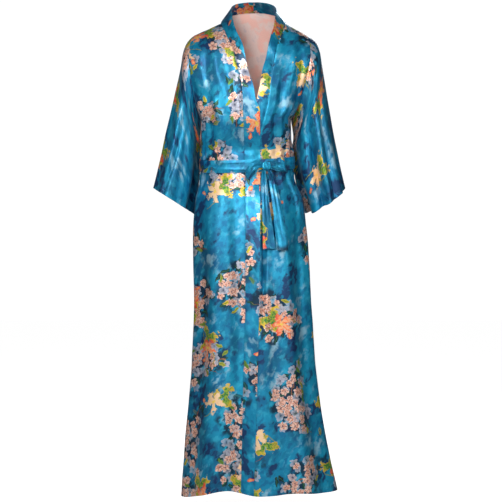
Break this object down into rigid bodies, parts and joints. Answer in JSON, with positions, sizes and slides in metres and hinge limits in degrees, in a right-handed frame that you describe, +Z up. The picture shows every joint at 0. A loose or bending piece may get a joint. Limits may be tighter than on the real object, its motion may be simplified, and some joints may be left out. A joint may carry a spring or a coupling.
{
  "type": "kimono robe",
  "caption": "Full-length satin kimono robe with wide sleeves, a neckband down both fronts and a tied belt, filled out as it is worn.",
  "frame": {"origin": "midway between the two side neck points, where the robe rests on the wearer's shoulders", "axes": "+Z up, +X towards the wearer's left, and the front of the robe faces -Y"},
  "size_m": [0.5459, 0.3167, 1.3987],
  "materials": {
    "printed_satin": "teal satin with a printed pattern of pale blossoms, coral flowers and leaves",
    "neckband_satin": "the same printed satin, folded double",
    "belt_satin": "the same printed satin, folded double and pressed"
  },
  "bodies": {
    "root": {"back_panel_upper": "printed_satin", "back_panel_skirt": "printed_satin", "front_right_upper": "printed_satin", "front_right_skirt": "printed_satin", "front_left_upper": "printed_satin", "front_left_skirt": "printed_satin", "sleeve_right": "printed_satin", "sleeve_left": "printed_satin", "neckband_right_upper": "neckband_satin", "neckband_right_skirt": "neckband_satin", "neckband_left_upper": "neckband_satin", "neckband_left_skirt": "neckband_satin", "belt_waist": "belt_satin", "belt_knot": "belt_satin", "belt_loop_right": "belt_satin", "belt_loop_left": "belt_satin", "belt_tail_right": "belt_satin", "belt_tail_left": "belt_satin"}
  },
  "joints": []
}
